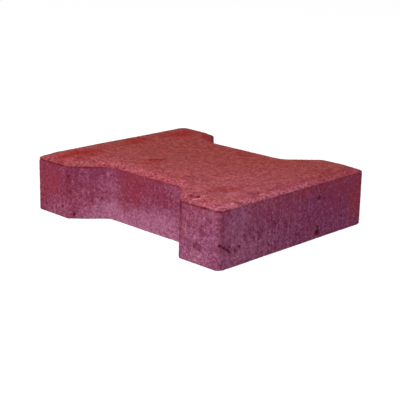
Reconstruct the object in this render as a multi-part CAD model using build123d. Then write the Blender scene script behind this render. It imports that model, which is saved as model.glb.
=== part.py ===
"""Double-T interlocking paving stone, pressed from pigmented concrete in one piece.

The stone lies on its bed face. X runs along its length, from one flange to the other, Y runs along the
flanges and Z points up. The origin is the middle of the bed face. All sizes are in millimetres.
"""

import os

from build123d import *

# Driving dimensions
stone_length = 200.0  # between the outer faces of the two flanges
stone_width = 165.0  # along a flange, from end to end
stone_height = 47.0  # from the bed face to the walking face
flange_end = 38.5  # flat end of a flange, measured along the stone's length
flank_run = 23.0  # slanted flank of a notch, measured along the stone's length
notch_depth = 24.5  # from the flange ends in to the waist
corner_radius = 4.0  # upright outer corners
notch_radius = 7.0  # upright inner corners, where a flank meets the waist
bevel_drop = 4.2  # bevel round the walking face, measured down the sides
bevel_run = 9.0  # the same bevel, measured across the walking face


def plan_corners():
    """Sharp corners of the double-T plan, in order round the stone, from one quarter mirrored."""
    flange_x = stone_length / 2
    flange_y = stone_width / 2
    end_x = flange_x - flange_end
    quarter = [
        (flange_x, flange_y),
        (end_x, flange_y),
        (end_x - flank_run, flange_y - notch_depth),
    ]
    left_back = [(-x, y) for x, y in reversed(quarter)]
    left_front = [(-x, -y) for x, y in quarter]
    right_front = [(x, -y) for x, y in reversed(quarter)]
    return quarter + left_back + left_front + right_front


def plan_at(height, inset=0.0):
    """The plan at a height, drawn in by inset on every side, with its upright corners rounded."""
    notch_corner_count = 4
    with BuildSketch(Plane.XY.offset(height)) as plan:
        with BuildLine():
            Polyline(*plan_corners(), close=True)
        make_face()
        if inset:
            offset(amount=-inset, kind=Kind.INTERSECTION)
        by_reach = plan.vertices().sort_by(lambda corner: abs(corner.Y))
        fillet(by_reach[:notch_corner_count], radius=notch_radius + inset)
        by_reach = plan.vertices().sort_by(lambda corner: abs(corner.Y))
        outer_corners = by_reach[2 * notch_corner_count :]
        fillet(outer_corners, radius=corner_radius)
    return plan.sketch


def paving_stone():
    """Straight sides up to the foot of the bevel, then the bevel up to the walking face."""
    bevel_foot = stone_height - bevel_drop
    sides = extrude(plan_at(0.0), amount=bevel_foot)
    bevel = loft(
        [plan_at(bevel_foot).face(), plan_at(stone_height, bevel_run).face()],
        ruled=True,
    )
    return sides + bevel


os.makedirs("parts", exist_ok=True)
export_step(paving_stone(), "parts/paving_stone.step")
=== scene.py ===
"""Dresses a red double-T paving stone: its fine relief, its pigmented concrete, the light and the camera.

Lengths are in metres, in the stone's own frame: X along its length, Y along its flanges and Z up from the
bed face. Places on the stone that are given one by one are written in millimetres.
"""

import math
import random

import bmesh
import bpy
from bpy.props import FloatProperty, FloatVectorProperty, IntProperty, PointerProperty
from mathutils import Matrix, Quaternion, Vector, kdtree, noise
from mathutils.geometry import intersect_point_line


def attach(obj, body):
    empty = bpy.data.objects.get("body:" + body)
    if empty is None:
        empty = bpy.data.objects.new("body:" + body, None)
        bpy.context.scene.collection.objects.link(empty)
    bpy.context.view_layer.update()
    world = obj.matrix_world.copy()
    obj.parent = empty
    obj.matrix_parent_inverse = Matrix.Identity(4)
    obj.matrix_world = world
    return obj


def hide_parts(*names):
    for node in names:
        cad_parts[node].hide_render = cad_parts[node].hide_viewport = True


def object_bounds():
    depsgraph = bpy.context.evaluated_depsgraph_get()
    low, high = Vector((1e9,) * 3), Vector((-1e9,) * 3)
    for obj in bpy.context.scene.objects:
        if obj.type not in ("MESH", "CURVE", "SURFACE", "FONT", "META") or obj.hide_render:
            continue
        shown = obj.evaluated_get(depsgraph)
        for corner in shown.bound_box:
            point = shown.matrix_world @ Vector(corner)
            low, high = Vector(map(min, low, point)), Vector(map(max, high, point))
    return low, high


bl_info = {
    "name": "Pressed paving stone",
    "version": (1, 0, 0),
    "blender": (4, 5, 0),
    "location": "3D Viewport > Sidebar > Paving",
    "description": "Gives a packed paving stone its relief and concrete, and sets the studio round it",
    "category": "Object",
}

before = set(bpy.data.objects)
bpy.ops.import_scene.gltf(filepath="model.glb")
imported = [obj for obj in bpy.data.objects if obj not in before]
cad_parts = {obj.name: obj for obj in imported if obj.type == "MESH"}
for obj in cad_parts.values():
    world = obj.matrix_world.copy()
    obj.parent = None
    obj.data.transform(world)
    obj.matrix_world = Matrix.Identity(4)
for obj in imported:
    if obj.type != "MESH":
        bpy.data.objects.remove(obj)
cad_low, cad_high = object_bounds()

NODE = "paving_stone"
BODY = "root"
MM = 0.001
WHITE = (1.0, 1.0, 1.0, 1.0)

# Deep marks that the mould and the handling left: place, radius and depth, in millimetres
DEEP_MARKS = [
    ((-58.2, -79.0, 3.9), 1.5, 1.4),
    ((100.0, 26.6, 8.6), 1.8, 0.9),
    ((100.0, 26.3, 4.6), 3.2, 1.6),
    ((100.0, 26.4, 31.2), 2.2, 0.7),
    ((100.0, 53.2, 24.3), 1.9, 0.55),
    ((100.0, 55.7, 11.0), 2.4, 0.4),
    ((100.0, -5.7, 20.6), 1.5, 0.5),
    ((73.0, -75.4, 46.0), 2.0, 0.9),
    ((66.2, -75.6, 45.9), 1.7, 0.45),
    ((68.6, -76.3, 45.7), 1.5, 0.4),
]
# The ragged crevice across the worn corner: place, radius and depth of each of its hollows, in millimetres
CREVICE = [
    ((99.2, -81.6, 17.9), 1.5, 0.9),
    ((99.9, -80.0, 17.4), 1.2, 0.9),
    ((100.0, -78.4, 16.7), 1.2, 0.9),
    ((100.0, -76.8, 15.8), 1.2, 1.0),
    ((100.0, -75.2, 14.8), 1.3, 1.0),
    ((100.0, -73.6, 13.8), 1.4, 1.1),
    ((100.0, -72.2, 13.0), 1.3, 1.1),
    ((100.0, -71.8, 15.2), 1.3, 1.1),
    ((100.0, -73.9, 17.9), 1.2, 0.45),
    ((100.0, -71.4, 11.2), 1.3, 1.1),
    ((100.0, -71.0, 9.8), 1.0, 0.6),
    ((100.0, -65.2, 11.8), 1.4, 0.55),
]
# Dark red streaks and spots, the last of them painted shade: two ends, radius in millimetres and strength
STAINS_AND_SHADE = [
    ((99.6, -79.0, 37.0), (99.7, -78.6, 19.0), 1.7, 0.5),
    ((99.4, -81.2, 18.0), (100.0, -71.0, 12.5), 2.8, 0.4),
    ((62.0, -82.3, 43.0), (62.4, -82.3, 36.0), 2.2, 0.9),
    ((62.5, -82.3, 36.0), (62.8, -82.3, 14.0), 1.8, 0.4),
    ((-61.5, -82.2, 37.0), (-61.3, -82.2, 20.0), 3.4, 0.35),
    ((82.5, -82.5, 24.3), (85.3, -82.5, 23.5), 2.2, 0.6),
    ((77.5, -82.5, 13.8), (80.5, -82.5, 12.6), 2.4, 0.55),
    ((70.5, -82.5, 26.5), (72.0, -82.5, 25.5), 1.8, 0.45),
    ((89.0, -82.5, 35.0), (92.2, -82.5, 33.4), 1.3, 0.7),
    ((100.0, -52.0, 24.2), (100.0, -49.0, 18.2), 1.5, 0.45),
    ((100.0, -48.0, 17.0), (100.0, -46.5, 16.3), 1.6, 0.5),
    ((100.0, -42.5, 19.8), (100.0, -41.5, 19.2), 1.8, 0.4),
    ((100.0, -39.6, 21.8), (100.0, -37.8, 18.0), 1.5, 0.4),
    ((100.0, -39.6, 15.8), (100.0, -39.2, 15.2), 1.6, 0.5),
    ((100.0, -55.5, 29.0), (100.0, -55.0, 28.2), 1.6, 0.5),
    ((100.0, -25.9, 24.0), (100.0, -25.2, 23.0), 2.0, 0.6),
    ((100.0, -12.6, 20.6), (100.0, -10.1, 17.0), 1.8, 0.6),
    ((100.0, -0.3, 9.0), (100.0, 0.2, 8.2), 2.2, 0.6),
    ((100.0, -36.0, 10.0), (100.0, -35.3, 9.3), 1.8, 0.5),
    ((100.0, -66.5, 12.2), (100.0, -63.5, 11.2), 2.0, 0.5),
    ((100.0, 80.0, 38.0), (100.0, 80.0, 8.0), 10.0, 0.2),
    ((96.5, -61.5, 44.0), (98.5, -57.5, 43.6), 2.4, 0.75),
    ((91.0, -43.0, 45.8), (92.6, -36.5, 45.6), 2.8, 0.6),
    ((65.2, -75.3, 46.0), (68.6, -77.2, 45.3), 2.0, 0.9),
    ((90.2, 38.0, 45.8), (89.8, 53.0, 45.8), 2.2, 0.7),
    # Painted shade: the outer bevel at the far notch, dark as the shaded flank seen edge-on beside it
    ((-61.0, 81.5, 43.2), (-39.0, 58.0, 43.2), 3.0, 1.0),
]
# Pale chips where bare sand shows, and a strip of pale dust: two ends, radius in millimetres and strength
PALE_CHIPS = [
    ((88.0, -66.0, 46.6), (88.0, -34.0, 46.6), 6.0, 0.11),
    ((-40.2, -59.9, 37.2), (-39.8, -59.5, 36.2), 1.2, 0.5),
    ((-45.6, -65.7, 16.3), (-45.6, -65.7, 15.7), 1.2, 0.45),
    ((-50.4, -70.7, 22.0), (-50.4, -70.7, 21.4), 1.2, 0.4),
    ((80.8, -82.5, 6.2), (81.8, -82.5, 6.6), 1.0, 0.9),
    ((76.8, -82.5, 18.2), (77.2, -82.5, 20.4), 0.9, 0.6),
    ((67.8, -82.5, 24.0), (67.8, -82.5, 22.8), 1.0, 0.5),
    ((77.2, -82.5, 2.4), (78.8, -82.5, 2.8), 0.8, 0.8),
    ((71.4, -78.5, 44.6), (74.0, -77.0, 45.3), 1.1, 1.0),
    ((96.5, -67.0, 44.4), (96.8, -65.0, 44.4), 1.1, 0.9),
    ((96.0, -58.6, 44.7), (95.6, -56.0, 44.7), 1.1, 0.6),
    ((95.2, -36.0, 45.0), (95.6, -31.0, 45.0), 1.1, 0.8),
    ((87.0, -81.2, 43.4), (92.0, -81.2, 43.4), 1.0, 0.6),
]
# Painted shade along the far crests, where they turn away from the light: two ends, radius in millimetres
# and strength
FAR_CREST_SHADES = [
    ((-91.5, -74.0, 46.4), (-92.0, -20.0, 46.4), 3.0, 0.4),
    ((-92.0, -25.0, 46.4), (-91.0, 40.0, 46.4), 3.6, 0.45),
    ((-91.5, 35.0, 46.4), (-90.0, 74.0, 46.4), 2.6, 0.35),
    ((-88.0, 74.0, 46.4), (-64.0, 74.5, 46.4), 3.4, 0.45),
    ((-26.0, 50.0, 46.4), (10.0, 50.5, 46.4), 2.8, 0.35),
    ((4.0, 50.0, 46.4), (41.0, 50.5, 46.4), 3.6, 0.45),
    ((43.0, 51.0, 46.4), (65.0, 74.0, 46.4), 2.6, 0.35),
    ((66.0, 74.5, 46.4), (91.0, 74.0, 46.4), 3.2, 0.4),
]
# Rubbed smears of the walking face: place, half length, half width, turn in degrees and strength
RUBBED_SMEARS = [
    ((-73.0, -59.0), 25.0, 13.0, 85.0, 1.0),
    ((-66.0, -54.0), 15.0, 6.0, 75.0, 0.9),
    ((-76.5, -76.0), 11.0, 6.0, 20.0, 1.0),
    ((-20.6, -29.5), 11.0, 3.8, 49.0, 1.0),
    ((-16.0, -38.0), 13.0, 7.0, 35.0, 0.5),
    ((-1.5, -45.7), 5.0, 3.0, 48.0, 0.6),
    ((73.6, -53.2), 10.5, 5.6, 79.0, 0.75),
    ((80.0, -45.2), 10.0, 5.6, 13.0, 0.85),
    ((-72.0, 51.0), 22.0, 12.0, 90.0, 1.0),
    ((-53.5, 66.0), 20.0, 7.0, -47.0, 1.0),
    ((-77.0, 4.0), 16.0, 8.0, 97.0, 0.9),
    ((12.0, 37.0), 16.0, 6.0, -15.0, 0.4),
    ((87.0, 56.0), 24.0, 12.0, 75.0, 0.12),
]
# Broad tones of the sides, partly painted light that lightens the recessed waist towards its foot, where the
# floor's bounce falls: place and reach in millimetres, then how far they turn to lime bloom and to plum
SIDE_TONES = [
    ((100.0, -62.0, 20.0), 34.0, 0.40, 0.5),
    ((100.0, -62.0, 40.0), 24.0, 0.28, 0.1),
    ((100.0, -30.0, 40.0), 20.0, 0.20, 0.0),
    ((100.0, -66.0, 2.0), 24.0, 0.20, 0.3),
    ((100.0, -40.0, 4.0), 24.0, 0.20, 0.3),
    ((100.0, -25.0, 12.0), 36.0, 0.18, 0.4),
    ((100.0, -5.0, 1.0), 24.0, 0.05, 0.5),
    ((100.0, 25.0, 1.0), 24.0, 0.14, 0.6),
    ((100.0, 55.0, 1.0), 26.0, 0.16, 0.6),
    ((100.0, 12.0, 22.0), 32.0, 0.08, 0.35),
    ((100.0, 52.0, 20.0), 44.0, -0.12, 0.3),
    ((100.0, 8.0, 42.0), 14.0, -0.1, -0.5),
    ((100.0, 28.0, 42.0), 14.0, -0.1, -0.5),
    ((100.0, 48.0, 42.0), 14.0, -0.1, -0.4),
    ((100.0, 66.0, 40.0), 16.0, -0.1, -0.3),
    ((100.0, 80.0, 22.0), 22.0, 0.0, -0.7),
    ((80.0, -82.5, 36.0), 24.0, 0.46, -0.1),
    ((66.0, -82.5, 22.0), 16.0, 0.34, -0.2),
    ((94.0, -82.5, 38.0), 12.0, 0.26, 0.0),
    ((94.0, -82.5, 20.0), 16.0, 0.25, 0.25),
    ((76.0, -82.5, 3.0), 26.0, 0.68, 0.7),
    ((-32.0, -58.0, 0.0), 20.0, 0.85, -0.1),
    ((-34.0, -58.0, 22.0), 18.0, 0.20, -0.2),
    ((-10.0, -58.0, 1.0), 24.0, 0.85, 0.0),
    ((12.0, -58.0, 3.0), 24.0, 0.88, 0.1),
    ((35.0, -58.0, 7.0), 23.5, 0.84, 0.3),
    ((34.0, -58.0, 38.0), 18.0, 0.30, 0.0),
    ((-14.0, -58.0, 38.0), 32.0, -0.12, -0.35),
    ((22.0, -58.0, 38.0), 30.0, -0.04, -0.28),
    ((-50.0, -70.5, 34.0), 20.0, 0.07, -0.1),
    ((-41.0, -60.0, 30.0), 18.0, 0.28, -0.1),
    ((-53.0, -73.5, 18.0), 20.0, 0.13, -0.2),
    ((-41.0, -60.5, 3.0), 20.0, 1.05, -0.2),
    ((-50.0, -70.0, 3.0), 14.0, 0.35, -0.2),
    ((-84.0, -82.5, 30.0), 32.0, -0.19, -0.4),
    ((-74.0, -82.5, 2.0), 22.0, 0.36, 0.1),
    ((-100.0, -34.0, 8.0), 40.0, 0.45, 0.2),
    ((-100.0, 46.0, 16.0), 42.0, 0.40, 0.0),
    ((0.0, 58.0, 5.0), 40.0, 0.55, 0.1),
    ((80.0, 82.5, 14.0), 30.0, 0.35, 0.2),
    ((-80.0, 82.5, 18.0), 30.0, 0.35, -0.1),
    ((-52.0, 72.5, 30.0), 24.0, -0.2, -0.6),
]
# The dark line below the arris, a shallow groove with painted shade in it: middle of a stretch in plan, its
# reach in millimetres and its strength
LIP_STRETCHES = [
    ((-80.0, -82.5), 26.0, 1.15),
    ((-52.0, -72.0), 17.0, 0.9),
    ((80.0, -82.5), 24.0, 1.5),
    ((-10.0, -58.0), 26.0, 0.5),
    ((22.0, -58.0), 20.0, 0.25),
    ((100.0, 50.0), 40.0, 0.25),
    ((0.0, 58.0), 60.0, 0.4),
    ((-100.0, 0.0), 80.0, 0.5),
]
# Clusters of dark specks on the sides: place, reach in millimetres and strength
SPECKLED = [
    ((78.0, -82.5, 20.0), 24.0, 0.5),
    ((100.0, -50.0, 20.5), 11.0, 0.8),
    ((100.0, -40.0, 19.0), 10.0, 0.8),
    ((100.0, -23.0, 21.0), 14.0, 0.8),
    ((100.0, -23.0, 10.0), 10.0, 0.8),
    ((100.0, 3.0, 9.0), 9.0, 0.7),
    ((100.0, 20.0, 25.0), 30.0, 0.35),
    ((-54.0, -74.0, 22.0), 20.0, 0.2),
    ((-100.0, 10.0, 20.0), 20.0, 0.6),
    ((30.0, 58.0, 22.0), 18.0, 0.6),
]

# Marks that attributes of the mesh carry to the material
MARKS = ("hole_shade", "side", "rim", "rubbed", "bloom_and_light", "plum", "speckle", "lip", "far_crest_shade", "chip")

# Limits of a zone of the skin, by how far up its normal points: the zone fades in or out between them
WALKING_FACING = (0.93, 0.99)
BEVEL_FACING = (0.45, 0.75)
SIDE_FACING = (0.1, 0.4)
# Limits between which the points of an arris lie, measured in the same way
UPPER_ARRIS = (0.25, 0.75)
LOWER_ARRIS = (-0.8, -0.2)
# How much of the crumbling each arris shows
UPPER_CRUMBS = 1.0
LOWER_CRUMBS = 0.15
# How much of the sand grain and of the air holes the walking face, the bevel and the sides show
GRAIN_SHARES = (0.6, 1.4, 0.9)
AIR_SHARES = (0.25, 0.4, 1.0)

# Noise that frays a mark: size of its lumps, weight and a shift that keeps the noises apart
LIP_FRAY = ((19.0 * MM, 1.0, 3.0), (5.0 * MM, 0.5, 8.0))
STREAK_FRAY = ((2.2 * MM, 0.35, 7.0), (8.0 * MM, 0.3, 1.0))
CRUMB_FRAY = ((7.0 * MM, 0.55, 2.0), (2.4 * MM, 0.6, 6.0))
HOLE_FRAY = ((1.6 * MM, 0.3, 5.0),)
SMEAR_FRAY = ((9.0 * MM, 0.55, 0.0), (3.5 * MM, 0.35, 0.0))
# Where a mark starts to fade and where it ends, in radii
LIP_FADE = (0.75, 1.1)
STREAK_FADE = (0.3, 1.2)
SMEAR_FADE = (0.25, 1.3)
SPECKLE_FADE = (0.3, 1.0)
# How far out a mark is looked for, in radii
STREAK_REACH = 1.6
HOLE_REACH = 1.3
SMEAR_REACH = 2.0
# Where the fraying noise starts to show in a mark and where it is whole
LIP_RISE = (-0.25, 0.25)
CRUMB_RISE = (-0.05, 0.65)
# Least strength of the dark line outside its stretches and where it is broken, and of the crumbling
LIP_LEAST = 0.1
LIP_BROKEN = 0.45
CRUMB_LEAST = 0.05
# How a hole curves in, what it leaves of the relief round it, and how strongly the painted shade darkens the
# deepest
HOLE_CURVE = 1.2
HOLE_KEEPS = 0.5
HOLE_DARKNESS = 1.5
# Air holes: how their depth is drawn, and the smallest radius and depth as shares of the largest
AIR_DEPTHS = (0.35, 1.0)
AIR_LEAST_RADIUS = 0.5
AIR_LEAST_DEPTH = 0.4
# Least depth between the sand grains where the skin is smooth, as a share
GRAIN_LEAST = 0.3

# Noises of the concrete: lumps to the metre, detail and roughness
PATCHES = (42.0, 4.0, 0.6)
MOTTLES = (170.0, 3.0, 0.6)
FLECKS = (400.0, 3.0, 0.75)
STREAKS = (420.0, 3.0, 0.6)
FINE_GRAIN = (1200.0, 2.0, 0.5)
BLUSH = (95.0, 3.0, 0.6)
CREST_BLOTCHES = (210.0, 3.0, 0.65)
CRUMBS = (330.0, 4.0, 0.8)
DRIFT = (27.0, 2.0, 0.5)
BLOTCHES = (240.0, 3.0, 0.55)
SPECKS = (430.0, 2.0, 0.6)
FINE_BUMPS = (900.0, 3.0, 0.6)
COARSE_BUMPS = (330.0, 4.0, 0.75)
GRAINS_TO_THE_METRE = 820.0
# Scale that draws the streaks out along Z, and the direction in which the dust gathers
STREAK_SCALE = (1.0, 1.0, 0.1)
DUST_DIRECTION = (0.35, -1.0, 0.0)
# How strongly a shade tells on red, green and blue, so that the dark is redder and the light paler
SHADE_GAINS = (0.85, 1.3, 1.2)


def smooth_step(low, high, value):
    """0 below low, 1 above high, and a smooth rise between them."""
    share = min(max((value - low) / (high - low), 0.0), 1.0)
    return share * share * (3.0 - 2.0 * share)


def at_least(least, share):
    """A share from 0 to 1, spread from least to 1."""
    return least + (1.0 - least) * share


def fading(distance, fade):
    """1 up to the start of a fade, 0 past its end, and a smooth fall between them."""
    return 1.0 - smooth_step(*fade, distance)


def lumps(place, size, shift=0.0):
    """Smooth noise from -1 to 1, whose lumps are about as large as size."""
    return noise.noise(place / size + Vector((shift, shift, shift)))


def swell(place, size, shift=0.0):
    """The same noise from 0 to 1."""
    return 0.5 + 0.5 * lumps(place, size, shift)


def fray(place, layers):
    """Noise of several sizes added up."""
    return sum(weight * lumps(place, size, shift) for size, weight, shift in layers)


class StoneRelief(bpy.types.PropertyGroup):
    """Fine relief that pressing, drawing from the mould and handling leave on the stone."""

    pitch: FloatProperty(
        name="Mesh pitch", description="Side of the mesh's small squares", default=1.0 * MM, unit="LENGTH"
    )
    bevel_foot: FloatProperty(
        name="Bevel foot", description="Height of the arris at the foot of the bevel",
        default=42.8 * MM, unit="LENGTH",
    )
    bevel_run: FloatProperty(
        name="Bevel run", description="Width of the bevel in plan", default=9.0 * MM, unit="LENGTH"
    )
    bevel_rounds: IntProperty(
        name="Bevel rounds", description="Rounds of smoothing where the bevel runs into the walking face",
        default=30,
    )
    worn_radius: FloatProperty(
        name="Worn radius", description="Radius of the worn upright corner", default=5.0 * MM, unit="LENGTH"
    )
    moulded: FloatProperty(
        name="Moulded depth", description="Depth up to which the relief stays flat",
        default=0.22 * MM, unit="LENGTH",
    )
    swell_size: FloatProperty(
        name="Swell size", description="Length of the slow swells", default=42 * MM, unit="LENGTH"
    )
    swell_depth: FloatProperty(
        name="Swell depth", description="Depth of the slow swells", default=0.45 * MM, unit="LENGTH"
    )
    grain_size: FloatProperty(
        name="Grain size", description="Size of the sand grains that stand out",
        default=3.0 * MM, unit="LENGTH",
    )
    grain_depth: FloatProperty(
        name="Grain depth", description="Depth between the sand grains", default=0.32 * MM, unit="LENGTH"
    )
    drag_width: FloatProperty(
        name="Drag width", description="Width of the upright drag marks", default=2.6 * MM, unit="LENGTH"
    )
    drag_length: FloatProperty(
        name="Drag length", description="Length of the upright drag marks", default=26 * MM, unit="LENGTH"
    )
    drag_depth: FloatProperty(
        name="Drag depth", description="Depth of the upright drag marks", default=0.2 * MM, unit="LENGTH"
    )
    lip_drop: FloatProperty(
        name="Lip drop", description="Depth of the dark line below the arris",
        default=0.8 * MM, unit="LENGTH",
    )
    lip_width: FloatProperty(
        name="Lip width", description="Half height of the dark line", default=1.3 * MM, unit="LENGTH"
    )
    lip_depth: FloatProperty(
        name="Lip depth", description="How far the dark line goes in", default=0.55 * MM, unit="LENGTH"
    )
    crumble_reach: FloatProperty(
        name="Crumble reach", description="Width of the crumbled band at an arris",
        default=3.4 * MM, unit="LENGTH",
    )
    crumble_depth: FloatProperty(
        name="Crumble depth", description="Depth of the deepest crumbs at an arris",
        default=1.5 * MM, unit="LENGTH",
    )
    blowholes: IntProperty(name="Blowholes", description="Number of small air holes", default=420, min=0)
    blowhole_radius: FloatProperty(
        name="Blowhole radius", description="Radius of the largest air holes",
        default=1.7 * MM, unit="LENGTH",
    )
    blowhole_depth: FloatProperty(
        name="Blowhole depth", description="Depth of the deepest air holes", default=0.7 * MM, unit="LENGTH"
    )
    dark_depth: FloatProperty(
        name="Dark depth", description="Depth from which a hole looks fully dark",
        default=0.9 * MM, unit="LENGTH",
    )
    seed: IntProperty(name="Seed", description="Draw of the air holes", default=7)


class StoneFinish(bpy.types.PropertyGroup):
    """Colours, bumps and gloss of the pigmented concrete."""

    skin_clean: FloatVectorProperty(
        name="Clean skin", description="Walking face where it stayed clean",
        default=(0.320, 0.051, 0.045, 1), subtype="COLOR", size=4,
    )
    skin_dusty: FloatVectorProperty(
        name="Dusty skin", description="Walking face where dust lies on it",
        default=(0.404, 0.081, 0.090, 1), subtype="COLOR", size=4,
    )
    haze: FloatVectorProperty(
        name="Lime haze", description="Faint lime haze towards one flange",
        default=(0.390, 0.088, 0.134, 1), subtype="COLOR", size=4,
    )
    skin_dull: FloatVectorProperty(
        name="Dull skin", description="Dull clouds of the walking face",
        default=(0.295, 0.056, 0.053, 1), subtype="COLOR", size=4,
    )
    skin_pale: FloatVectorProperty(
        name="Pale skin", description="Walking face where the dust lies thickest",
        default=(0.465, 0.103, 0.112, 1), subtype="COLOR", size=4,
    )
    rubbed: FloatVectorProperty(
        name="Rubbed skin", description="Rubbed smears",
        default=(0.278, 0.016, 0.012, 1), subtype="COLOR", size=4,
    )
    bevel: FloatVectorProperty(
        name="Bevel", description="Crumbly bevel", default=(0.436, 0.082, 0.104, 1), subtype="COLOR", size=4
    )
    bevel_front: FloatVectorProperty(
        name="Front bevel", description="Bevel along the front",
        default=(0.508, 0.118, 0.170, 1), subtype="COLOR", size=4,
    )
    bevel_far: FloatVectorProperty(
        name="Far bevel", description="Cleaner bevel of the far half",
        default=(0.375, 0.048, 0.080, 1), subtype="COLOR", size=4,
    )
    crest: FloatVectorProperty(
        name="Crest", description="Bare red line where the bevel meets the walking face",
        default=(0.285, 0.030, 0.060, 1), subtype="COLOR", size=4,
    )
    # Colour of the painted shade along the far crests, where they turn away from the light
    far_crest_shade: FloatVectorProperty(
        name="Grime", description="Brown grime along the far crests",
        default=(0.130, 0.027, 0.019, 1), subtype="COLOR", size=4,
    )
    side_red: FloatVectorProperty(
        name="Red side", description="Red parts of the sides",
        default=(0.294, 0.038, 0.066, 1), subtype="COLOR", size=4,
    )
    side_plum: FloatVectorProperty(
        name="Plum side", description="Plum parts of the sides",
        default=(0.224, 0.037, 0.114, 1), subtype="COLOR", size=4,
    )
    # Lime bloom of the sides, which in places also stands for painted light
    bloom_and_light: FloatVectorProperty(
        name="Lime bloom", description="Pale lime bloom on the sides",
        default=(0.432, 0.146, 0.248, 1), subtype="COLOR", size=4,
    )
    # Colour of the dark line: painted shade below the arris and in its broken crumbs, and also of the real
    # stains
    lip: FloatVectorProperty(
        name="Lip", description="Dark red line below the arris",
        default=(0.155, 0.010, 0.024, 1), subtype="COLOR", size=4,
    )
    blotch: FloatVectorProperty(
        name="Blotches", description="Maroon blotches of the sides",
        default=(0.15, 0.014, 0.040, 1), subtype="COLOR", size=4,
    )
    # Also used for painted highlights on the edges of the bevel's crumbs
    pale_grain_and_highlight: FloatVectorProperty(
        name="Pale grains", description="Bare pale sand grains",
        default=(0.66, 0.24, 0.28, 1), subtype="COLOR", size=4,
    )
    # Also used for painted shade in the gaps between the bevel's crumbs
    dark_grain_and_shade: FloatVectorProperty(
        name="Dark grains", description="Dark gaps between grains",
        default=(0.13, 0.012, 0.026, 1), subtype="COLOR", size=4,
    )
    # Painted shade in deep holes, cracks and air holes, darker the deeper they go
    hole_shade: FloatVectorProperty(
        name="Hollows", description="Deep holes and cracks",
        default=(0.10, 0.004, 0.020, 1), subtype="COLOR", size=4,
    )
    bump_height: FloatProperty(
        name="Bump height", description="Height of the fine bumps", default=0.35 * MM, unit="LENGTH"
    )
    gloss: FloatProperty(
        name="Gloss", description="Strength of the faint gloss",
        default=0.08, subtype="FACTOR", min=0, max=1,
    )
    roughness: FloatProperty(
        name="Roughness", description="Mean roughness of the concrete",
        default=0.92, subtype="FACTOR", min=0, max=1,
    )


class StudioSetup(bpy.types.PropertyGroup):
    """Floor, light and camera."""

    floor_side: FloatProperty(
        name="Floor side", description="Side of the square floor", default=14.0, unit="LENGTH"
    )
    floor_paper: FloatVectorProperty(
        name="Floor paper", description="Floor as it lights the stone",
        default=(0.8, 0.8, 0.8, 1), subtype="COLOR", size=4,
    )
    floor_shaded: FloatVectorProperty(
        name="Shaded floor", description="Share of the seen floor that takes shadows",
        default=(0.3, 0.3, 0.3, 1), subtype="COLOR", size=4,
    )
    floor_glow: FloatProperty(
        name="Floor glow", description="Strength of the glow of the seen floor", default=0.86
    )
    ambient: FloatProperty(name="Ambient", description="Strength of the even light", default=0.36)
    key_power: FloatProperty(
        name="Key power", description="Power of the key lamp", default=16.5, unit="POWER"
    )
    key_size: FloatProperty(name="Key size", description="Side of the key lamp", default=1.0, unit="LENGTH")
    key_place: FloatVectorProperty(
        name="Key place", description="Place of the key lamp", default=(0.16, -0.81, 1.26), subtype="XYZ"
    )
    eye: FloatVectorProperty(
        name="Eye", description="Place of the camera", default=(0.5323, -0.5516, 0.2373), subtype="XYZ"
    )
    aim: FloatVectorProperty(
        name="Aim", description="Point in the middle of the picture",
        default=(0.0272, -0.0260, 0.0240), subtype="XYZ",
    )
    roll: FloatProperty(
        name="Roll", description="Turn of the camera about its own axis",
        default=math.radians(1.35), subtype="ANGLE",
    )
    lens: FloatProperty(
        name="Lens", description="Focal length in millimetres", default=90.25, unit="CAMERA"
    )


class NodeBench:
    """Adds the nodes of one tree, each with its inputs set or linked as it is made."""

    def __init__(self, owner):
        owner.use_nodes = True
        self.tree = owner.node_tree
        self.tree.nodes.clear()

    def add(self, kind, inputs=None, **settings):
        """A new node. Inputs go by socket name or number, to a value or to another node's output."""
        node = self.tree.nodes.new(kind)
        for name, value in settings.items():
            setattr(node, name, value)
        for key, value in (inputs or {}).items():
            socket = node.inputs[key]
            if isinstance(value, bpy.types.NodeSocket):
                self.tree.links.new(value, socket)
            else:
                socket.default_value = value
        return node

    def attribute(self, name):
        """A number that the mesh carries at its points."""
        return self.add("ShaderNodeAttribute", attribute_name=name).outputs["Fac"]

    def noise(self, place, scale, detail, roughness):
        """Smooth noise about 0.5."""
        inputs = {"Vector": place, "Scale": scale, "Detail": detail, "Roughness": roughness}
        return self.add("ShaderNodeTexNoise", inputs).outputs["Fac"]

    def ramp(self, value, low, high, to_low=0.0, to_high=1.0):
        """A value's range from low to high, spread from to_low to to_high and held there."""
        inputs = {"Value": value, 1: low, 2: high, 3: to_low, 4: to_high}
        return self.add("ShaderNodeMapRange", inputs, interpolation_type="SMOOTHSTEP").outputs["Result"]

    def swing(self, value, margin, strength):
        """Noise about 0.5 as a number about 0, from -strength to strength."""
        return self.ramp(value, margin, 1.0 - margin, -strength, strength)

    def joined(self, operation, first, *others):
        """Numbers joined one after the other by an operation."""
        for other in others:
            first = self.add("ShaderNodeMath", {0: first, 1: other}, operation=operation).outputs["Value"]
        return first

    def sum(self, *numbers):
        """Numbers added up."""
        return self.joined("ADD", *numbers)

    def times(self, *numbers):
        """Numbers multiplied."""
        return self.joined("MULTIPLY", *numbers)

    def between(self, share, first, second):
        """The number that lies between two others, by a share."""
        return self.add("ShaderNodeMix", {0: share, 2: first, 3: second}, data_type="FLOAT").outputs[0]

    def mix(self, share, first, second, blend="MIX"):
        """Two colours mixed by a share."""
        inputs = {0: share, 6: first, 7: second}
        return self.add("ShaderNodeMix", inputs, data_type="RGBA", blend_type=blend).outputs[2]


def merged_copy(node_name):
    """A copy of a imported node, with its loose triangles merged into one closed skin."""
    skin = bmesh.new()
    skin.from_mesh(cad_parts[node_name].data)
    bmesh.ops.remove_doubles(skin, verts=skin.verts, dist=0.01 * MM)
    return skin


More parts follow.
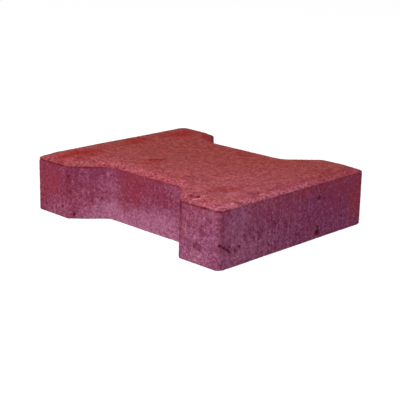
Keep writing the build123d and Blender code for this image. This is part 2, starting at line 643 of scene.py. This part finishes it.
def even_skin(stone, pitch):
    """Gives the stone a skin of small, even squares, fine enough to carry the relief."""
    remesh = stone.modifiers.new("even_skin", "REMESH")
    remesh.mode = "VOXEL"
    remesh.voxel_size = pitch
    graph = bpy.context.evaluated_depsgraph_get()
    fine = bpy.data.meshes.new_from_object(stone.evaluated_get(graph))
    stone.modifiers.clear()
    coarse = stone.data
    stone.data = fine
    bpy.data.meshes.remove(coarse)


def soften_bevel(skin, relief):
    """Runs the bevel into the walking face without a crease, and leaves its lowest part crisp."""
    crisp_share = 0.3
    above = relief.bevel_foot + crisp_share * (cad_high.z - relief.bevel_foot)
    crown = [vert for vert in skin.verts if vert.co.z > above]
    for _ in range(relief.bevel_rounds):
        bmesh.ops.smooth_vert(
            skin, verts=crown, factor=0.5, use_axis_x=True, use_axis_y=True, use_axis_z=True
        )


def round_worn_corner(skin, relief):
    """Rounds off the upright corner that handling has worn, up through the bevel."""
    bevel_drop = cad_high.z - relief.bevel_foot
    axis = Vector((cad_high.x - relief.worn_radius, cad_low.y + relief.worn_radius))
    for vert in skin.verts:
        away = vert.co.xy - axis
        if away.x <= 0.0 or away.y >= 0.0:
            continue
        inset = relief.bevel_run * max(0.0, vert.co.z - relief.bevel_foot) / bevel_drop
        reach = max(relief.worn_radius - inset, 0.0)
        if away.length > reach:
            away *= reach / away.length
            vert.co.xy = axis + away


class ReliefCarver:
    """Works out how deep each point of the skin lies below the moulded form, then moves the points there."""

    def __init__(self, skin, relief):
        self.relief = relief
        layers = skin.verts.layers.float
        self.layers = {name: layers.new(name) for name in MARKS}
        skin.normal_update()
        self.verts = list(skin.verts)
        self.places = [vert.co.copy() for vert in self.verts]
        self.normals = [vert.normal.copy() for vert in self.verts]
        count = len(self.verts)
        self.depths = [0.0] * count
        self.hole_shades = [0.0] * count
        self.lips = [0.0] * count
        self.far_crest_shades = [0.0] * count
        self.chips = [0.0] * count
        self.points = self.tree_of(range(count))

    def tree_of(self, chosen):
        """A search tree of the chosen points."""
        tree = kdtree.KDTree(len(chosen))
        for index in chosen:
            tree.insert(self.places[index], index)
        tree.balance()
        return tree

    def arris(self, facing):
        """A search tree of the points of an arris, found by how far up they face."""
        low, high = facing
        return self.tree_of([i for i, normal in enumerate(self.normals) if low < normal.z < high])

    def zone(self, index):
        """Shares of walking face, bevel and upright side at a point, by the way it faces."""
        up = self.normals[index].z
        top = smooth_step(*WALKING_FACING, up)
        bevel = smooth_step(*BEVEL_FACING, up) - top
        side = fading(abs(up), SIDE_FACING)
        return top, bevel, side

    def weighed(self, index, shares):
        """What a point takes of the shares of walking face, bevel and upright side."""
        return sum(share * part for share, part in zip(shares, self.zone(index)))

    def swells_and_grain(self):
        """Slow swells, sand grains and the upright drag marks of the sides, below a flat moulded face."""
        relief = self.relief
        drag_squash = relief.drag_width / relief.drag_length
        for i, place in enumerate(self.places):
            wave = swell(place, relief.swell_size)
            nearest, second = noise.voronoi(place / relief.grain_size)[0][:2]
            gap = 1.0 - min(2.0 * (second - nearest), 1.0)
            rough = at_least(GRAIN_LEAST, swell(place, 3.0 * relief.grain_size, shift=4.0))
            grain = gap * rough * self.weighed(i, GRAIN_SHARES)
            upright = Vector((place.x, place.y, place.z * drag_squash))
            drag = self.zone(i)[2] * swell(upright, relief.drag_width, shift=9.0)
            depth = wave * relief.swell_depth + grain * relief.grain_depth + drag * relief.drag_depth
            self.depths[i] += max(0.0, depth - relief.moulded)

    @staticmethod
    def lip_strength(place):
        """How strong the dark line is at a point, by the stretches of the arris."""
        most = LIP_LEAST
        for centre, reach, strength in LIP_STRETCHES:
            distance = (place.xy - Vector(centre) * MM).length / (reach * MM)
            most = max(most, strength * fading(distance, LIP_FADE))
        return most

    def lip(self):
        """The dark line below the arris, in stretches: a shallow groove, painted dark as the shade under the
        arris.
        """
        relief = self.relief
        middle = relief.bevel_foot - relief.lip_drop
        for i, place in enumerate(self.places):
            near = 1.0 - abs(place.z - middle) / relief.lip_width
            side = self.zone(i)[2]
            if near <= 0.0 or side <= 0.0:
                continue
            whole = smooth_step(*LIP_RISE, fray(place, LIP_FRAY))
            share = smooth_step(0.0, 0.8, near) * side * at_least(LIP_BROKEN, whole)
            self.lips[i] = share * self.lip_strength(place)
            self.depths[i] += relief.lip_depth * self.lips[i]

    def crumble(self, facing, share):
        """Breaks crumbs away along an arris, and paints the shade of the breaks with the colour of the line
        below it.
        """
        relief = self.relief
        arris = self.arris(facing)
        for i, place in enumerate(self.places):
            distance = arris.find(place)[2]
            if distance > relief.crumble_reach:
                continue
            near = 1.0 - distance / relief.crumble_reach
            crumb = smooth_step(*CRUMB_RISE, fray(place, CRUMB_FRAY))
            self.depths[i] += share * relief.crumble_depth * near * near * (CRUMB_LEAST + crumb)
            self.lips[i] = max(self.lips[i], share * near * crumb * self.lip_strength(place))

    def hole(self, centre, radius, depth):
        """A hole with a soft, ragged rim, at the point of the skin nearest to its centre, with painted shade
        that darkens it by its depth.
        """
        darkness = HOLE_DARKNESS * min(depth / self.relief.dark_depth, 1.0)
        middle = self.points.find(centre)[0]
        for place, index, distance in self.points.find_range(middle, HOLE_REACH * radius):
            ragged = distance / radius + fray(place, HOLE_FRAY)
            share = max(0.0, 1.0 - ragged * ragged) ** HOLE_CURVE
            carved = HOLE_KEEPS * self.depths[index] + depth * share
            self.depths[index] = max(self.depths[index], carved)
            self.hole_shades[index] = max(self.hole_shades[index], min(darkness * share, 1.0))

    def blowholes(self):
        """Small air holes, most of them on the sides."""
        relief = self.relief
        draw = random.Random(relief.seed)
        for _ in range(relief.blowholes):
            index = draw.randrange(len(self.verts))
            size = draw.random() ** 2
            radius = relief.blowhole_radius * at_least(AIR_LEAST_RADIUS, size)
            depth = relief.blowhole_depth * draw.uniform(*AIR_DEPTHS) * at_least(AIR_LEAST_DEPTH, size)
            if draw.random() < self.weighed(index, AIR_SHARES):
                self.hole(self.places[index], radius, depth)

    def streak(self, shares, start, end, radius, strength):
        """Raises the shares of a mark along a ragged streak between two ends."""
        reach = (end - start).length / 2 + STREAK_REACH * radius
        for place, index, _ in self.points.find_range((start + end) / 2, reach):
            along = intersect_point_line(place, start, end)[1]
            nearest = start.lerp(end, min(max(along, 0.0), 1.0))
            ragged = (place - nearest).length / radius + fray(place, STREAK_FRAY)
            shares[index] = max(shares[index], strength * fading(ragged, STREAK_FADE))

    @staticmethod
    def rubbed(place):
        """How far a point of the walking face is rubbed."""
        most = 0.0
        for (x, y), half_length, half_width, turn, strength in RUBBED_SMEARS:
            away = Vector((place.x - x * MM, place.y - y * MM))
            away.rotate(Matrix.Rotation(math.radians(-turn), 2))
            distance = math.hypot(away.x / (half_length * MM), away.y / (half_width * MM))
            if distance <= SMEAR_REACH:
                ragged = distance + fray(place, SMEAR_FRAY)
                most = max(most, strength * fading(ragged, SMEAR_FADE))
        return most

    @staticmethod
    def tones(place):
        """How far the broad tones of the sides turn a point to lime bloom and to plum, partly painted light.
        """
        bloom_and_light, plum = 0.0, 0.0
        for centre, reach, to_bloom_and_light, to_plum in SIDE_TONES:
            distance = (place - Vector(centre) * MM).length / (reach * MM)
            if distance < 1.0:
                share = (1.0 - distance * distance) ** 2
                bloom_and_light += to_bloom_and_light * share
                plum += to_plum * share
        return bloom_and_light, plum

    @staticmethod
    def speckle(place):
        """How thickly dark specks cluster at a point of the sides."""
        most = 0.0
        for centre, reach, strength in SPECKLED:
            distance = (place - Vector(centre) * MM).length / (reach * MM)
            most = max(most, strength * fading(distance, SPECKLE_FADE))
        return most

    def apply(self):
        """Moves every point in along its own normal, and keeps its marks on the mesh."""
        upper_arris = self.arris(UPPER_ARRIS)
        for i, vert in enumerate(self.verts):
            place, normal = self.places[i], self.normals[i]
            top, bevel, _ = self.zone(i)
            # The bed face is finished as the sides are
            side = fading(normal.z, SIDE_FACING)
            bloom_and_light, plum = self.tones(place) if side > 0.0 else (0.0, 0.0)
            marks = {
                "hole_shade": self.hole_shades[i],
                "side": side,
                "rim": upper_arris.find(place)[2],
                "rubbed": self.rubbed(place) * (top + bevel) if top + bevel > 0.0 else 0.0,
                "bloom_and_light": bloom_and_light,
                "plum": plum,
                "speckle": self.speckle(place) if side > 0.0 else 0.0,
                "lip": self.lips[i],
                "far_crest_shade": self.far_crest_shades[i],
                "chip": self.chips[i],
            }
            for name, value in marks.items():
                vert[self.layers[name]] = value
            carved = place - normal * self.depths[i]
            vert.co = [min(max(at, low), high) for at, low, high in zip(carved, cad_low, cad_high)]


class ConcreteBench(NodeBench):
    """The node tree of the pigmented concrete, with the noises and shares that its layers have in common."""

    def __init__(self, material, finish):
        super().__init__(material)
        self.finish = finish
        self.place = self.add("ShaderNodeTexCoord").outputs["Object"]
        parts = self.add("ShaderNodeSeparateXYZ", {"Vector": self.place}).outputs
        self.along, self.height = parts["X"], parts["Z"]
        upright = self.add("ShaderNodeMapping", {"Vector": self.place, "Scale": STREAK_SCALE})
        self.patches = self.noise(self.place, *PATCHES)
        self.mottles = self.noise(self.place, *MOTTLES)
        self.flecks = self.noise(self.place, *FLECKS)
        self.streaks = self.noise(upright.outputs["Vector"], *STREAKS)
        self.fine = self.noise(self.place, *FINE_GRAIN)
        grains = {"Vector": self.place, "Scale": GRAINS_TO_THE_METRE}
        self.grains = self.add("ShaderNodeTexVoronoi", grains, feature="F1").outputs
        self.side = self.attribute("side")
        self.upper = self.ramp(self.side, 0.0, 1.0, 1.0, 0.0)
        # Dust thickens towards the worn corner
        towards_corner = self.run(DUST_DIRECTION)
        self.dust = self.ramp(towards_corner, -30.0 * MM, 70.0 * MM)
        self.thick_dust = self.ramp(towards_corner, 65.0 * MM, 105.0 * MM)
        self.front = self.ramp(self.along, 86.0 * MM, 93.0 * MM)
        # The crumbly bevel ends in a ragged rim, measured from the arris, and is narrower along the front
        ragged = self.swing(self.mottles, 0.25, 1.6 * MM)
        self.rim = self.sum(self.attribute("rim"), ragged, self.times(self.front, 2.4 * MM))
        self.crumbly = self.times(self.ramp(self.rim, 5.2 * MM, 8.2 * MM, 1.0, 0.0), self.upper)

    def run(self, direction):
        """How far a point lies along a direction."""
        inputs = {0: self.place, 1: direction}
        return self.add("ShaderNodeVectorMath", inputs, operation="DOT_PRODUCT").outputs["Value"]

    def shaded(self, colour, shade):
        """A colour made lighter or darker by a share, the dark redder and the light paler."""
        gains = [self.sum(self.times(shade, gain), 1.0) for gain in SHADE_GAINS]
        tint = self.add("ShaderNodeCombineColor", dict(enumerate(gains))).outputs["Color"]
        return self.mix(1.0, colour, tint, "MULTIPLY")

    def walking_skin(self):
        """Dull red skin, dustier towards the front, clouded and mottled, with rubbed smears."""
        finish = self.finish
        skin = self.mix(self.dust, finish.skin_clean, finish.skin_dusty)
        skin = self.mix(self.times(self.thick_dust, 0.9), skin, finish.skin_pale)
        clouds = self.ramp(self.sum(self.patches, self.mottles), 0.88, 1.2, 0.0, 0.9)
        skin = self.mix(clouds, skin, finish.skin_dull)
        blush = self.ramp(self.noise(self.place, *BLUSH), 0.5, 0.72, 0.0, 0.45)
        skin = self.mix(self.times(blush, self.dust), skin, finish.haze)
        worn = self.ramp(self.mottles, 0.35, 0.62, 0.65, 1.0)
        skin = self.mix(self.times(self.attribute("rubbed"), worn), skin, finish.rubbed)
        cast = self.sum(self.swing(self.mottles, 0.3, 0.24), self.swing(self.flecks, 0.25, 0.28))
        dusty = self.ramp(self.dust, 0.0, 1.0, 0.9, 1.3)
        return self.shaded(skin, self.times(cast, dusty))

    def crest(self):
        """Share of the bare, blotchy line where the bevel meets the walking face, faint under thick dust."""
        start = self.ramp(self.rim, 6.0 * MM, 8.0 * MM)
        end = self.ramp(self.rim, 9.0 * MM, 12.0 * MM, 1.0, 0.0)
        blotchy = self.ramp(self.noise(self.place, *CREST_BLOTCHES), 0.4, 0.6, 0.15, 0.85)
        forward = self.ramp(self.along, -50.0 * MM, 70.0 * MM, 0.35, 0.75)
        clear = self.ramp(self.thick_dust, 0.0, 0.5, 1.0, 0.2)
        return self.times(start, end, blotchy, forward, clear, self.upper)

    def bevel_over(self, skin):
        """The crumbly bevel, paler along the front, with its crest, bright crumbs and dark gaps, which stand
        partly for painted highlights and shade of the crumbs, and painted shade along the far crests.
        """
        finish = self.finish
        tone = self.mix(self.front, finish.bevel, finish.bevel_front)
        tone = self.mix(self.ramp(self.dust, 0.0, 0.7, 1.0, 0.0), tone, finish.bevel_far)
        dusty = self.ramp(self.dust, 0.0, 1.0, 0.6, 1.0)
        forward = self.ramp(self.along, -80.0 * MM, -20.0 * MM, 0.3, 1.0)
        crumbly = self.times(self.crumbly, dusty, forward)
        colour = self.mix(crumbly, skin, tone)
        hazy = self.ramp(self.along, 20.0 * MM, 120.0 * MM, 0.0, 0.35)
        hazy = self.times(hazy, self.ramp(self.dust, 0.0, 1.0, 0.4, 1.0))
        colour = self.mix(hazy, colour, finish.haze)
        colour = self.mix(self.crest(), colour, finish.crest)
        crumbs = self.noise(self.place, *CRUMBS)
        # Dark gaps between the crumbs, partly painted shade of the crumbled relief
        dark_gaps_and_shade = self.times(self.ramp(crumbs, 0.32, 0.47, 0.62, 0.0), crumbly)
        colour = self.mix(dark_gaps_and_shade, colour, finish.dark_grain_and_shade)
        # Bright crumbs, partly painted highlights on crumb edges
        bright_crumbs_and_highlights = self.times(self.ramp(crumbs, 0.53, 0.7, 0.0, 0.85), crumbly)
        colour = self.mix(bright_crumbs_and_highlights, colour, finish.pale_grain_and_highlight)
        # The dark line in the breaks of the arris: painted shade
        colour = self.mix(self.times(self.attribute("lip"), 0.7), colour, finish.lip)
        # Painted shade along the far crests
        return self.mix(self.attribute("far_crest_shade"), colour, finish.far_crest_shade)

    def sides(self):
        """Red and plum sides under a streaked lime bloom that is partly painted light, with maroon blotches,
        specks and the dark line.
        """
        finish = self.finish
        # Paler towards the foot
        bloom_and_light = self.sum(self.attribute("bloom_and_light"), self.ramp(self.height, 0.0, 40.0 * MM, 0.12, 0.0))
        layers = ((self.patches, 0.05), (self.streaks, 0.2), (self.mottles, 0.13), (self.flecks, 0.42))
        for layer, strength in layers:
            bloom_and_light = self.sum(bloom_and_light, self.swing(layer, 0.2, strength))
        drift = self.ramp(self.noise(self.place, *DRIFT), 0.3, 0.7, 0.3, 0.65)
        plum = self.sum(self.attribute("plum"), drift, self.swing(self.streaks, 0.2, 0.25))
        side = self.mix(plum, finish.side_red, finish.side_plum)
        side = self.mix(bloom_and_light, side, finish.bloom_and_light)
        blotches = self.ramp(self.noise(self.place, *BLOTCHES), 0.58, 0.74, 0.0, 0.35)
        side = self.mix(blotches, side, finish.blotch)
        specks = self.ramp(self.noise(self.place, *SPECKS), 0.5, 0.62, 0.0, 0.8)
        side = self.mix(self.times(specks, self.attribute("speckle")), side, finish.blotch)
        # The dark line below the arris, painted shade over a shallow groove, and the dark stains
        return self.mix(self.attribute("lip"), side, finish.lip)

    def grain_strength(self):
        """How strongly the grains tell: most at the foot, on the bevel and in the speckled clusters."""
        upper = self.ramp(self.thick_dust, 0.0, 1.0, 0.9, 1.25)
        side = self.ramp(self.height, 5.0 * MM, 30.0 * MM, 1.1, 0.75)
        speckled = self.times(self.attribute("speckle"), 0.5)
        crumbly = self.times(self.crumbly, self.ramp(self.front, 0.0, 1.0, 0.3, 0.55))
        return self.sum(self.between(self.side, upper, side), speckled, crumbly)

    def grained(self, colour):
        """Sand grains of differing shade, a few of them bare or dark, with the chips and the painted shade
        of the holes.
        """
        finish = self.finish
        draw = self.add("ShaderNodeSeparateColor", {"Color": self.grains["Color"]}).outputs
        shade = self.sum(self.swing(draw["Red"], 0.0, 0.22), self.swing(self.fine, 0.25, 0.2))
        colour = self.shaded(colour, self.times(shade, self.grain_strength()))
        bare = self.ramp(draw["Green"], 0.972, 0.988, 0.0, 0.32)
        colour = self.mix(bare, colour, finish.pale_grain_and_highlight)
        dark = self.ramp(draw["Blue"], 0.94, 0.975, 0.0, 0.36)
        colour = self.mix(dark, colour, finish.dark_grain_and_shade)
        colour = self.mix(self.attribute("chip"), colour, finish.pale_grain_and_highlight)
        # Painted shade in the holes
        return self.mix(self.attribute("hole_shade"), colour, finish.hole_shade)

    def surface(self, colour):
        """Rough, hardly glossy concrete with fine bumps, and coarser ones on the bevel."""
        finish = self.finish
        fine = self.sum(self.grains["Distance"], self.noise(self.place, *FINE_BUMPS))
        coarse = self.ramp(self.noise(self.place, *COARSE_BUMPS), 0.25, 0.75, 0.0, 3.0)
        height = self.sum(fine, self.times(coarse, self.crumbly))
        bumps = {"Strength": 0.6, "Distance": finish.bump_height, "Height": height}
        normal = self.add("ShaderNodeBump", bumps).outputs["Normal"]
        roughness = self.sum(self.swing(self.fine, 0.25, 0.06), finish.roughness)
        matte = {
            "Base Color": colour,
            "Roughness": roughness,
            "Specular IOR Level": finish.gloss,
            "Normal": normal,
        }
        shader = self.add("ShaderNodeBsdfPrincipled", matte)
        self.add("ShaderNodeOutputMaterial", {"Surface": shader.outputs["BSDF"]})


def concrete_material(finish):
    """Pigmented concrete for the walking face, the bevel and the sides."""
    material = bpy.data.materials.new("pigmented_concrete")
    bench = ConcreteBench(material, finish)
    upper = bench.bevel_over(bench.walking_skin())
    bench.surface(bench.grained(bench.mix(bench.side, upper, bench.sides())))
    return material


class PAVING_OT_stone(bpy.types.Operator):
    """Carve the fine relief of the stone and give it its concrete"""

    bl_idname = "paving.stone"
    bl_label = "Paving stone"
    bl_options = {"REGISTER", "UNDO"}

    def execute(self, context):
        relief = context.scene.stone_relief
        mesh = bpy.data.meshes.new("pressed_stone")
        stone = bpy.data.objects.new("pressed_stone", mesh)
        context.scene.collection.objects.link(stone)
        form = merged_copy(NODE)
        form.to_mesh(mesh)
        form.free()
        even_skin(stone, relief.pitch)
        self.carve(stone.data, relief)
        stone.data.materials.clear()
        stone.data.materials.append(concrete_material(context.scene.stone_finish))
        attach(stone, BODY)
        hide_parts(NODE)
        return {"FINISHED"}

    @staticmethod
    def carve(mesh, relief):
        """Wears and carves the skin of a mesh, and shades it smoothly."""
        skin = bmesh.new()
        skin.from_mesh(mesh)
        soften_bevel(skin, relief)
        round_worn_corner(skin, relief)
        carver = ReliefCarver(skin, relief)
        carver.swells_and_grain()
        carver.lip()
        carver.crumble(UPPER_ARRIS, UPPER_CRUMBS)
        carver.crumble(LOWER_ARRIS, LOWER_CRUMBS)
        carver.blowholes()
        for place, radius, depth in DEEP_MARKS + CREVICE:
            carver.hole(Vector(place) * MM, radius * MM, depth * MM)
        # The stains, and the painted shade at the far notch, have the colour of the dark line
        for shares, streaks in ((carver.lips, STAINS_AND_SHADE), (carver.chips, PALE_CHIPS), (carver.far_crest_shades, FAR_CREST_SHADES)):
            for start, end, radius, strength in streaks:
                carver.streak(shares, Vector(start) * MM, Vector(end) * MM, radius * MM, strength)
        carver.apply()
        for face in skin.faces:
            face.smooth = True
        skin.to_mesh(mesh)
        skin.free()


class PAVING_OT_studio(bpy.types.Operator):
    """Lay the pale floor and set the soft light and the camera"""

    bl_idname = "paving.studio"
    bl_label = "Studio"
    bl_options = {"REGISTER", "UNDO"}

    def execute(self, context):
        setup = context.scene.studio_setup
        self.lay_floor(context, setup)
        self.set_light(context, setup)
        self.set_camera(context, setup)
        context.scene.view_settings.view_transform = "Standard"
        return {"FINISHED"}

    @staticmethod
    def seen_share(bench):
        """1 where the camera sees a surface, straight, glossed or through glass, and 0 for other light."""
        path = bench.add("ShaderNodeLightPath").outputs
        rays = (path["Is Camera Ray"], path["Is Glossy Ray"], path["Is Transmission Ray"])
        return bench.joined("MAXIMUM", *rays)

    def lay_floor(self, context, setup):
        """A white floor that glows only for the eye, so that it lights the stone no more than paper does."""
        mesh = bpy.data.meshes.new("studio_floor")
        sheet = bmesh.new()
        bmesh.ops.create_grid(sheet, x_segments=1, y_segments=1, size=setup.floor_side / 2)
        sheet.to_mesh(mesh)
        sheet.free()
        floor = bpy.data.objects.new("studio_floor", mesh)
        context.scene.collection.objects.link(floor)
        material = bpy.data.materials.new("white_sweep")
        bench = NodeBench(material)
        paper = bench.add("ShaderNodeBsdfDiffuse", {"Color": setup.floor_paper})
        shaded = bench.add("ShaderNodeBsdfDiffuse", {"Color": setup.floor_shaded})
        glow = bench.add("ShaderNodeEmission", {"Color": WHITE, "Strength": setup.floor_glow})
        white = bench.add("ShaderNodeAddShader", {0: shaded.outputs[0], 1: glow.outputs[0]})
        inputs = {0: self.seen_share(bench), 1: paper.outputs[0], 2: white.outputs[0]}
        shown = bench.add("ShaderNodeMixShader", inputs)
        bench.add("ShaderNodeOutputMaterial", {"Surface": shown.outputs[0]})
        mesh.materials.append(material)

    def set_light(self, context, setup):
        """Even light that looks white to the eye, and one large lamp aimed at the stone."""
        world = bpy.data.worlds.new("studio_world")
        context.scene.world = world
        bench = NodeBench(world)
        strength = bench.ramp(self.seen_share(bench), 0.0, 1.0, setup.ambient, 1.0)
        even = bench.add("ShaderNodeBackground", {"Color": WHITE, "Strength": strength})
        bench.add("ShaderNodeOutputWorld", {"Surface": even.outputs[0]})
        lamp = bpy.data.lights.new("key", "AREA")
        lamp.energy = setup.key_power
        lamp.size = setup.key_size
        key = bpy.data.objects.new("key", lamp)
        key.location = setup.key_place
        key.rotation_euler = (-key.location).to_track_quat("-Z", "Y").to_euler()
        context.scene.collection.objects.link(key)

    def set_camera(self, context, setup):
        """A camera at the eye, turned to the aim and rolled."""
        data = bpy.data.cameras.new("camera")
        data.lens = setup.lens
        data.clip_start = 10.0 * MM
        camera = bpy.data.objects.new("camera", data)
        camera.location = setup.eye
        level = (Vector(setup.aim) - Vector(setup.eye)).to_track_quat("-Z", "Y")
        camera.rotation_mode = "QUATERNION"
        camera.rotation_quaternion = level @ Quaternion((0, 0, 1), setup.roll)
        context.scene.collection.objects.link(camera)
        context.scene.camera = camera


class PAVING_PT_sidebar(bpy.types.Panel):
    """Lists the steps and their settings"""

    bl_idname = "PAVING_PT_sidebar"
    bl_label = "Paving stone"
    bl_space_type = "VIEW_3D"
    bl_region_type = "UI"
    bl_category = "Paving"

    def draw(self, context):
        steps = (
            (context.scene.stone_relief, None),
            (context.scene.stone_finish, PAVING_OT_stone.bl_idname),
            (context.scene.studio_setup, PAVING_OT_studio.bl_idname),
        )
        for settings, operator in steps:
            column = self.layout.column(align=True)
            for name in settings.bl_rna.properties.keys():
                if name not in {"rna_type", "name"}:
                    column.prop(settings, name)
            if operator:
                self.layout.operator(operator)


CLASSES = (StoneRelief, StoneFinish, StudioSetup, PAVING_OT_stone, PAVING_OT_studio, PAVING_PT_sidebar)


def register():
    for each in CLASSES:
        bpy.utils.register_class(each)
    bpy.types.Scene.stone_relief = PointerProperty(type=StoneRelief)
    bpy.types.Scene.stone_finish = PointerProperty(type=StoneFinish)
    bpy.types.Scene.studio_setup = PointerProperty(type=StudioSetup)


def unregister():
    del bpy.types.Scene.studio_setup
    del bpy.types.Scene.stone_finish
    del bpy.types.Scene.stone_relief
    for each in reversed(CLASSES):
        bpy.utils.unregister_class(each)


def main():
    register()
    bpy.ops.paving.stone()
    bpy.ops.paving.studio()


if __name__ == "__main__":
    main()
